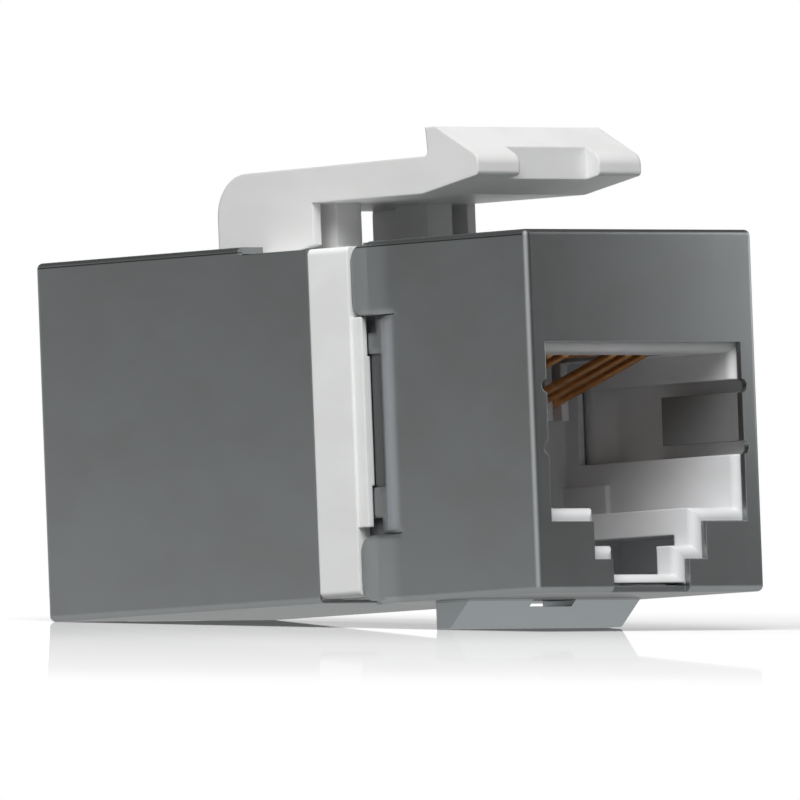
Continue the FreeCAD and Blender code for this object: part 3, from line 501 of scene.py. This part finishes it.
class COUPLER_OT_shield(bpy.types.Operator):
    """Give both folded shells their satin plating"""
    bl_idname = "coupler.shield"
    bl_label = "Shield finish"

    def execute(self, context):
        settings = context.scene.coupler_shield
        finish = Finish("satin_plating")
        grain = finish.noise(ROLLED_GRAIN)
        speck = finish.noise(SPECKS, detail=1.0)
        cloud = finish.noise(PLATING_CLOUDS)
        smear = finish.noise(SMEARS, detail=4.0, roughness=0.6)
        inside = self.inner_side(finish)
        film = inside * (1.0 - finish.within(FRONT_GROUNDS) - finish.within(REAR_GROUNDS))
        seam = (finish.within(FRONT_SEAM) + finish.within(REAR_SEAM)) * (1.0 - finish.within(SEAM_ROOM))
        tabs = finish.around(TABS, BETWEEN_TABS)
        # Painted reflections: lighter tints on the rear tabs, the lug and the drawn-in flanges.
        painted_reflection, drawn = self.paint_reflections(finish, tabs)
        colour = finish.blend(
            finish.eased(cloud, *PLATING_DRIFT), rgba(settings.colour), rgba(settings.worn))
        # Painted shade: the pressed pockets in the flanges take some of the seam's dark colour.
        painted_pocket_shade = finish.around(POCKETS, POCKET_ROOM) * POCKET_PAINTED_SHADE
        for share, tint in (
                (inside, settings.back), (painted_reflection, settings.painted_reflection), (drawn, settings.drawn),
                (painted_pocket_shade, settings.seam), (film, settings.film), (seam, settings.seam)):
            colour = finish.blend(share, colour, rgba(tint))
        # Edges are eased more where the side flanges are set in, because the sheet is drawn there.
        edge = finish.within(EASED_BENDS) * settings.drawn_edge + settings.edge
        relief = grain * GRAIN_RELIEF + speck * SPECK_RELIEF
        roughness = settings.roughness + PLATING_BASE + grain * GRAIN_ROUGH + smear * SMEAR_ROUGH
        finish.end_surface(
            Base_Color=colour,
            Metallic=1.0 - inside * BACK_DULLNESS - film * FILM_DULLNESS,
            Specular_Tint=rgba(settings.rim),
            Roughness=roughness + inside * BACK_ROUGH,
            Normal=finish.relief(relief, settings.grain, edge, self.tuck(finish, tabs)))
        finish.wear("front_shell", "rear_shell")
        return {"FINISHED"}

    def inner_side(self, finish):
        """1 on the inner side of the sheet, which follows the set-in flanges of the front shell."""
        place = finish.parts(finish.place)
        run = (place["Y"] - FLANGE_START * MM).at_least(0.0).at_most(FLANGE_RUN * MM)
        set_in = run * place["Y"].below(FRONT_SHELL_END * MM) * FLANGE_SLOPE
        return (abs(place["X"]) + set_in).below(INNER_WALL * MM) * finish.within(INNER_ROOM)

    def paint_reflections(self, finish, tabs):
        """Shares of the painted reflection on the rear tabs and the lug, and of the lighter drawn tint on
        the flanges, which is painted reflection too.
        """
        depth = finish.parts(finish.place)["Y"]
        fade = finish.eased(depth, REFLECTION_START * MM, REFLECTION_FULL * MM)
        fade = fade * (1.0 - finish.within(WALL_ROOM))
        painted_reflection = fade * tabs * TAB_REFLECTION + finish.within(LUG) * LUG_REFLECTION
        return painted_reflection, fade * finish.within(FLANGE_BENDS)

    def tuck(self, finish, tabs):
        """Height in metres of the side walls where they lean in towards the rear tabs."""
        depth = (finish.parts(finish.place)["Y"] - TUCK_START * MM).at_least(0.0)
        curved = depth.at_most(TUCK_BEND * MM)
        lean = (curved * curved * (0.5 / (TUCK_BEND * MM)) + depth - curved) * -TUCK_SLOPE
        return lean * tabs * (1.0 - finish.within(TAB_ROOM))


class COUPLER_OT_mouldings(bpy.types.Operator):
    """Give the centre frame and the latch their white moulded finish"""
    bl_idname = "coupler.mouldings"
    bl_label = "White mouldings"

    def execute(self, context):
        settings = context.scene.coupler_mouldings
        for name, node_name, white in (
                ("frame_moulding", "centre_frame", settings.frame),
                ("latch_moulding", "latch", settings.latch)):
            finish = Moulding(name, settings, spark=14.0, flow=(0.5, 0.25, 0.5))
            finish.end_moulded(
                finish.drift(white, tint=(0.955, 0.955, 0.95), start=0.35), smoother=0.05, uneven=0.1,
                Subsurface_Weight=0.12, Subsurface_Radius=(0.0006, 0.0005, 0.0004))
            finish.wear(node_name)
        return {"FINISHED"}


class COUPLER_OT_jacks(bpy.types.Operator):
    """Give the two moulded jacks their finish"""
    bl_idname = "coupler.jacks"
    bl_label = "Moulded jacks"

    def execute(self, context):
        settings = context.scene.coupler_mouldings
        finish = Moulding("jack_moulding", settings, spark=18.0, flow=(0.7, 0.3, 0.7))
        colour = finish.drift(settings.jack, tint=(0.94, 0.94, 0.93), start=0.3)
        # Painted shade: the jack's sides under the flanges take a dark colour where the notches show them.
        sides = finish.around(JACK_PAINTED_SHADE, JACK_CORE)
        finish.end_moulded(finish.blend(sides, colour, rgba(settings.painted_notch_shade)), smoother=0.08, uneven=0.1)
        finish.wear("front_port_insert", "rear_port_insert")
        return {"FINISHED"}


class COUPLER_OT_sleds(bpy.types.Operator):
    """Give the two contact sleds their finish"""
    bl_idname = "coupler.sleds"
    bl_label = "Contact sleds"

    def execute(self, context):
        settings = context.scene.coupler_mouldings
        finish = Moulding("sled_moulding", settings, spark=16.0, flow=(0.8, 0.4, 0.8))
        colour = finish.drift(settings.sled, tint=(1.25, 1.25, 1.25), start=0.35)
        finish.end_moulded(colour, smoother=0.0, uneven=0.12)
        finish.wear("front_contact_carrier", "rear_contact_carrier")
        return {"FINISHED"}


class COUPLER_OT_board(bpy.types.Operator):
    """Give the circuit board its varnish"""
    bl_idname = "coupler.board"
    bl_label = "Circuit board"

    def execute(self, context):
        settings = context.scene.coupler_mouldings
        finish = Finish("board_varnish")
        weave, cross = (
            finish.add("ShaderNodeTexWave", {"bands_direction": direction}, {
                "Vector": finish.stretched(CLOTH), "Scale": 1.0, "Distortion": 0.6})["Fac"]
            for direction in "XZ")
        cloud = finish.noise(VARNISH_CLOUDS, detail=3.0)
        cloth = weave * cross
        lighter = rgba(settings.board, tint=(1.6, 1.4, 1.5))
        finish.end_surface(
            Base_Color=finish.blend(
                cloth * CLOTH_SHARE + cloud * CLOUD_SHARE, rgba(settings.board), lighter),
            Roughness=settings.gloss + cloud * VARNISH_ROUGH,
            Normal=finish.relief(cloth, settings.grain, settings.board_edge))
        finish.wear("circuit_board")
        return {"FINISHED"}


def spring_tree():
    """Geometry nodes that sweep a strip along a bent path and repeat it at the pitch."""
    tree = bpy.data.node_groups.new("formed_spring_row", "GeometryNodeTree")
    face = tree.interface
    face.new_socket("Path", in_out="INPUT", socket_type="NodeSocketGeometry")
    face.new_socket("Springs", in_out="INPUT", socket_type="NodeSocketInt")
    for name in ("First place", "Spacing", "Strip width", "Strip thickness", "Strip corner", "Bend radius"):
        face.new_socket(name, in_out="INPUT", socket_type="NodeSocketFloat")
    face.new_socket("Finish", in_out="INPUT", socket_type="NodeSocketMaterial")
    face.new_socket("Springs", in_out="OUTPUT", socket_type="NodeSocketGeometry")
    given = add_node(tree, "NodeGroupInput")
    path = add_node(tree, "GeometryNodeFilletCurve", {"mode": "POLY"}, {
        "Curve": given["Path"], "Count": BEND_STEPS, "Radius": given["Bend radius"]})["Curve"]
    outline = add_node(tree, "GeometryNodeCurvePrimitiveQuadrilateral", {"mode": "RECTANGLE"}, {
        "Width": given["Strip width"], "Height": given["Strip thickness"]})["Curve"]
    outline = add_node(tree, "GeometryNodeFilletCurve", {"mode": "POLY"}, {
        "Curve": outline, "Count": CORNER_STEPS, "Radius": given["Strip corner"]})["Curve"]
    strip = add_node(tree, "GeometryNodeCurveToMesh", None, {
        "Curve": path, "Profile Curve": outline, "Fill Caps": True})["Mesh"]
    first = add_node(tree, "ShaderNodeCombineXYZ", None, {"X": given["First place"]})["Vector"]
    step = add_node(tree, "ShaderNodeCombineXYZ", None, {"X": given["Spacing"]})["Vector"]
    places = add_node(tree, "GeometryNodeMeshLine", {"mode": "OFFSET"}, {
        "Count": given["Springs"], "Start Location": first, "Offset": step})["Mesh"]
    row = add_node(tree, "GeometryNodeInstanceOnPoints", None, {
        "Points": places, "Instance": strip})["Instances"]
    row = add_node(tree, "GeometryNodeRealizeInstances", None, {"Geometry": row})["Geometry"]
    row = add_node(tree, "GeometryNodeSetMaterial", None, {
        "Geometry": row, "Material": given["Finish"]})["Geometry"]
    add_node(tree, "NodeGroupOutput", None, {"Springs": row})
    return tree


def spring_row(context, tree, settings, material, first, count, level, tip):
    """Every second spring from the first one, as a plain mesh, with its tails and tips at those levels."""
    points = (
        (settings.tail_end, level), (settings.tail_lead, level), (settings.run_end, settings.run_level),
        (settings.nose, settings.run_level), (settings.nose, settings.root), (settings.tip_depth, tip))
    curve = bpy.data.curves.new("spring_path", "CURVE")
    curve.dimensions = "3D"
    line = curve.splines.new("POLY")
    line.points.add(len(points) - 1)
    for point, (depth, height) in zip(line.points, points):
        point.co = (0.0, depth, height, 1.0)
    holder = bpy.data.objects.new("spring_path", curve)
    modifier = holder.modifiers.new("Springs", "NODES")
    modifier.node_group = tree
    middle = (SPRINGS + 1) / 2
    values = {
        "Springs": count, "First place": (first - middle) * settings.pitch, "Spacing": 2.0 * settings.pitch,
        "Strip width": settings.width, "Strip thickness": settings.thickness,
        "Strip corner": settings.corner, "Bend radius": settings.bend, "Finish": material}
    for item in tree.interface.items_tree:
        if item.in_out == "INPUT" and item.name in values:
            modifier[item.identifier] = values[item.name]
    context.scene.collection.objects.link(holder)
    graph = context.evaluated_depsgraph_get()
    mesh = bpy.data.meshes.new_from_object(holder.evaluated_get(graph), depsgraph=graph)
    holder.modifiers.remove(modifier)
    bpy.data.objects.remove(holder)
    bpy.data.curves.remove(curve)
    return mesh


def new_piece(context, name, corners, faces, material):
    """A mesh object of those corners and faces, in the scene."""
    mesh = bpy.data.meshes.new(name)
    mesh.from_pydata(corners, [], faces)
    mesh.materials.append(material)
    piece = bpy.data.objects.new(name, mesh)
    context.scene.collection.objects.link(piece)
    return piece


class COUPLER_OT_springs(bpy.types.Operator):
    """Build the eight formed contact springs of each port"""
    bl_idname = "coupler.springs"
    bl_label = "Contact springs"

    def execute(self, context):
        settings = context.scene.coupler_springs
        finish = Finish("spring_plating")
        drawn = finish.noise(DRAWN_GRAIN)
        spot = finish.eased(finish.noise(PLATED_SPOTS, detail=3.0), *SPOT_DRIFT)
        finish.end_surface(
            Base_Color=finish.blend(spot, rgba(settings.colour), rgba(settings.dark)),
            Metallic=1.0,
            Roughness=settings.roughness + SPRING_BASE + drawn * DRAWN_ROUGH,
            Normal=finish.relief(drawn, settings.grain, settings.edge))
        tree = spring_tree()
        high, low = settings.high_row, settings.low_row
        tip, raised = settings.tip_level, settings.raised_tip
        # Each row has its first spring, how many there are, and the levels of their tails and tips.
        rows = [
            spring_row(context, tree, settings, finish.material, *row) for row in (
                (1, 2, high, tip), (7, 1, high, tip), (5, 1, high, raised),
                (2, 1, low, tip), (6, 2, low, tip), (4, 1, low, raised))]
        turn = Matrix.Translation((0.0, settings.length, settings.rise)) @ Matrix.Rotation(math.pi, 4, "Z")
        for end, place in (("front", Matrix.Identity(4)), ("rear", turn)):
            corners, faces = [], []
            for row in rows:
                start = len(corners)
                corners += [place @ v.co for v in row.vertices]
                faces += [[start + i for i in face.vertices] for face in row.polygons]
            piece = new_piece(context, end + "_contact_springs", corners, faces, finish.material)
            piece.data.shade_smooth()
            piece.data.set_sharp_from_angle(angle=SHARP_ANGLE)
            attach(piece, "body")
            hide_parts(*(f"{end}_contact_{i}" for i in range(1, 9)))
        return {"FINISHED"}


def view_axes(settings):
    """The camera's right, up and back directions."""
    azimuth, elevation, roll = settings.azimuth, settings.elevation, settings.roll
    level = math.cos(elevation)
    back = Vector((math.sin(azimuth) * level, -math.cos(azimuth) * level, math.sin(elevation)))
    right = (-back).cross(Vector((0.0, 0.0, 1.0))).normalized()
    up = right.cross(-back)
    return (
        right * math.cos(roll) + up * math.sin(roll), up * math.cos(roll) - right * math.sin(roll), back)


def seen_rays(tree):
    """1 for rays that show or mirror a surface to the camera, 0 for those that light others."""
    rays = add_node(tree, "ShaderNodeLightPath")
    shown = rays["Is Camera Ray"] + rays["Is Glossy Ray"] + rays["Is Transmission Ray"]
    return (shown - rays["Diffuse Depth"]).at_most(1.0).at_least(0.0)


def lamp(context, settings, name, direction, size, power):
    """A square lamp that stands in that direction from the coupler and faces it."""
    data = bpy.data.lights.new(name, "AREA")
    data.shape = "SQUARE"
    data.size = size
    data.energy = power
    thing = bpy.data.objects.new(name, data)
    away = Vector(direction).normalized()
    thing.location = Vector(settings.aim) + away * settings.lamp_distance
    thing.rotation_euler = away.to_track_quat("Z", "Y").to_euler()
    context.scene.collection.objects.link(thing)


class COUPLER_OT_studio(bpy.types.Operator):
    """Set up the white studio: floor, grey surround, lamps, room light and camera"""
    bl_idname = "coupler.studio"
    bl_label = "Studio"

    def execute(self, context):
        settings = context.scene.coupler_studio
        self.room(context, settings)
        self.floor(context, settings)
        self.surround(context, settings)
        lamp(context, settings, "key_lamp", settings.key_way, settings.key_size, settings.key)
        lamp(context, settings, "fill_lamp", settings.fill_way, settings.fill_size, settings.fill)
        self.camera(context, settings)
        context.scene.view_settings.view_transform = "Standard"
        return {"FINISHED"}

    def room(self, context, settings):
        """A room that is white to the camera and its mirrors, and lights the rest at the ambient level."""
        world = bpy.data.worlds.new("white_room")
        world.use_nodes = True
        tree = world.node_tree
        tree.nodes.clear()
        strength = seen_rays(tree) * (1.0 - settings.ambient) + settings.ambient
        shader = add_node(tree, "ShaderNodeBackground", None, {"Strength": strength, "Color": WHITE})
        add_node(tree, "ShaderNodeOutputWorld", None, {"Surface": shader["Background"]})
        context.scene.world = world

    def floor(self, context, settings):
        """A tilted floor that is shaded and polished near the coupler and plain white farther off."""
        finish = Finish("white_floor")
        seen = finish.add("ShaderNodeLightPath")["Is Camera Ray"]
        colour = settings.floor_colour
        paper = finish.blend(
            finish.noise(PAPER_CLOUDS), rgba(colour), rgba(colour, tint=(0.98, 0.98, 0.98)))
        matt = finish.add("ShaderNodeBsdfDiffuse", None, {
            "Color": finish.blend(seen, rgba(settings.floor_bounce), paper)})["BSDF"]
        reach = finish.vector("DISTANCE", finish.place, tuple(settings.aim))["Value"]
        far = finish.eased(reach, settings.floor_near, settings.floor_far)
        mirrored = far * (1.0 - MIRRORED_WHITE) + MIRRORED_WHITE
        white = far * seen + mirrored * (seen_rays(finish.tree) - seen)
        lit = finish.mixed(white, matt, finish.shining(WHITE))
        mirror = finish.add("ShaderNodeBsdfGlossy", None, {
            "Roughness": POLISH_ROUGHNESS, "Color": WHITE})["BSDF"]
        grazing = finish.add("ShaderNodeLayerWeight", None, {"Blend": 0.5})["Facing"] ** GRAZING_POWER
        polish = (settings.polish - reach * settings.polish_loss).at_least(0.0) * grazing
        polish = polish * (1.0 - finish.eased(reach, POLISH_FADES, POLISH_GONE))
        finish.end_one_sided(finish.mixed(polish * seen, lit, mirror))
        slope, half = math.tan(settings.floor_tilt), FLOOR_HALF
        corners = [
            (x, y, settings.floor_level + (y - settings.floor_depth) * slope)
            for x, y in ((-half, -half), (half, -half), (half, half), (-half, half))]
        floor = new_piece(context, "floor", corners, [(0, 1, 2, 3)], finish.material)

    def surround(self, context, settings):
        """A grey ring, a dark hood on it and a white card, which only mirrors show."""
        finish = Finish("grey_surround")
        self.glow(finish, self.ring_level(finish, settings), settings)
        middle, radius = Vector(settings.aim), settings.ring_radius
        turns = [2.0 * math.pi * i / RING_STEPS for i in range(RING_STEPS)]
        low, high = (
            [(middle.x + radius * math.cos(t), middle.y + radius * math.sin(t), level) for t in turns]
            for level in (settings.ring_low, settings.ring_high))
        following = [(i + 1) % RING_STEPS for i in range(RING_STEPS)]
        faces = [(i, RING_STEPS + i, RING_STEPS + j, j) for i, j in enumerate(following)]
        self.mirrored_only(context, "grey_surround", low + high, faces, finish.material)
        dark = Finish("dark_hood")
        self.glow(dark, settings.hood, settings)
        self.mirrored_only(context, "dark_hood", high, [tuple(reversed(range(RING_STEPS)))], dark.material)
        white = Finish("white_card")
        self.glow(white, settings.card, settings)
        centre, reach = Vector(settings.card_place), settings.card_reach
        across, up = Vector((reach[0], reach[1], 0.0)), Vector((0.0, 0.0, reach[2]))
        corners = [centre - across - up, centre + across - up, centre + across + up, centre - across + up]
        self.mirrored_only(context, "white_card", corners, [(3, 2, 1, 0)], white.material)

    def ring_level(self, finish, settings):
        """The ring's grey: white behind the coupler and at both ends of the view, darker at the right."""
        away = finish.vector("SUBTRACT", finish.place, tuple(settings.aim))[0]
        rear, onward, right = (
            finish.vector("DOT_PRODUCT", away, tuple(part / settings.ring_radius for part in way))["Value"]
            for way in (REARWARD, ONWARD, RIGHTWARD))
        white = rear.at_least(0.0) ** REAR_POWER + finish.eased(abs(onward), *ENDS_FADE)
        level = white * (1.0 - settings.surround) + settings.surround
        return level - finish.eased(right, *RIGHT_FADE) * RIGHT_SHADE

    def glow(self, finish, level, settings):
        """End a finish that shows that level to the camera's mirrors and the room's level to other rays."""
        colour = seen_rays(finish.tree) * (level - settings.ambient) + settings.ambient
        finish.end_one_sided(finish.shining(colour))

    def mirrored_only(self, context, name, corners, faces, material):
        """A piece of the studio that is seen in mirrors alone."""
        thing = new_piece(context, name, corners, faces, material)
        thing.visible_camera = False
        thing.visible_diffuse = False
        thing.visible_shadow = False
        thing.visible_transmission = False

    def camera(self, context, settings):
        """The photograph's view of the coupler."""
        right, up, back = view_axes(settings)
        data = bpy.data.cameras.new("camera")
        data.lens = settings.lens
        data.sensor_width = SENSOR_WIDTH
        data.clip_start = NEAREST
        data.clip_end = FARTHEST
        camera = bpy.data.objects.new("camera", data)
        shift = right * settings.shift_right + up * settings.shift_up
        place = Vector(settings.aim) + back * settings.distance + shift
        turn = Matrix((right, up, back)).transposed().to_4x4()
        camera.matrix_world = Matrix.Translation(place) @ turn
        context.scene.collection.objects.link(camera)
        context.scene.camera = camera


class COUPLER_PT_looks(bpy.types.Panel):
    """Sizes and colours of the coupler, and the buttons that build them"""
    bl_idname = "COUPLER_PT_looks"
    bl_label = "Keystone coupler"
    bl_space_type = "VIEW_3D"
    bl_region_type = "UI"
    bl_category = "Coupler"

    def draw(self, context):
        for group in GROUPS:
            settings = getattr(context.scene, group)
            for name in settings.bl_rna.properties.keys():
                if name not in ("rna_type", "name"):
                    self.layout.prop(settings, name)
        for operator in OPERATORS:
            self.layout.operator(operator.bl_idname)


GROUPS = {
    "coupler_shield": ShieldSettings,
    "coupler_mouldings": MouldingSettings,
    "coupler_springs": SpringSettings,
    "coupler_studio": StudioSettings,
}
OPERATORS = (
    COUPLER_OT_shield, COUPLER_OT_mouldings, COUPLER_OT_jacks, COUPLER_OT_sleds, COUPLER_OT_board,
    COUPLER_OT_springs, COUPLER_OT_studio)


def register():
    for cls in (*GROUPS.values(), *OPERATORS, COUPLER_PT_looks):
        bpy.utils.register_class(cls)
    for name, cls in GROUPS.items():
        setattr(bpy.types.Scene, name, bpy.props.PointerProperty(type=cls))


def unregister():
    for name in GROUPS:
        delattr(bpy.types.Scene, name)
    for cls in (COUPLER_PT_looks, *reversed(OPERATORS), *reversed(list(GROUPS.values()))):
        bpy.utils.unregister_class(cls)


def main():
    register()
    bpy.ops.coupler.shield()
    bpy.ops.coupler.mouldings()
    bpy.ops.coupler.jacks()
    bpy.ops.coupler.sleds()
    bpy.ops.coupler.board()
    bpy.ops.coupler.springs()
    bpy.ops.coupler.studio()


if __name__ == "__main__":
    main()
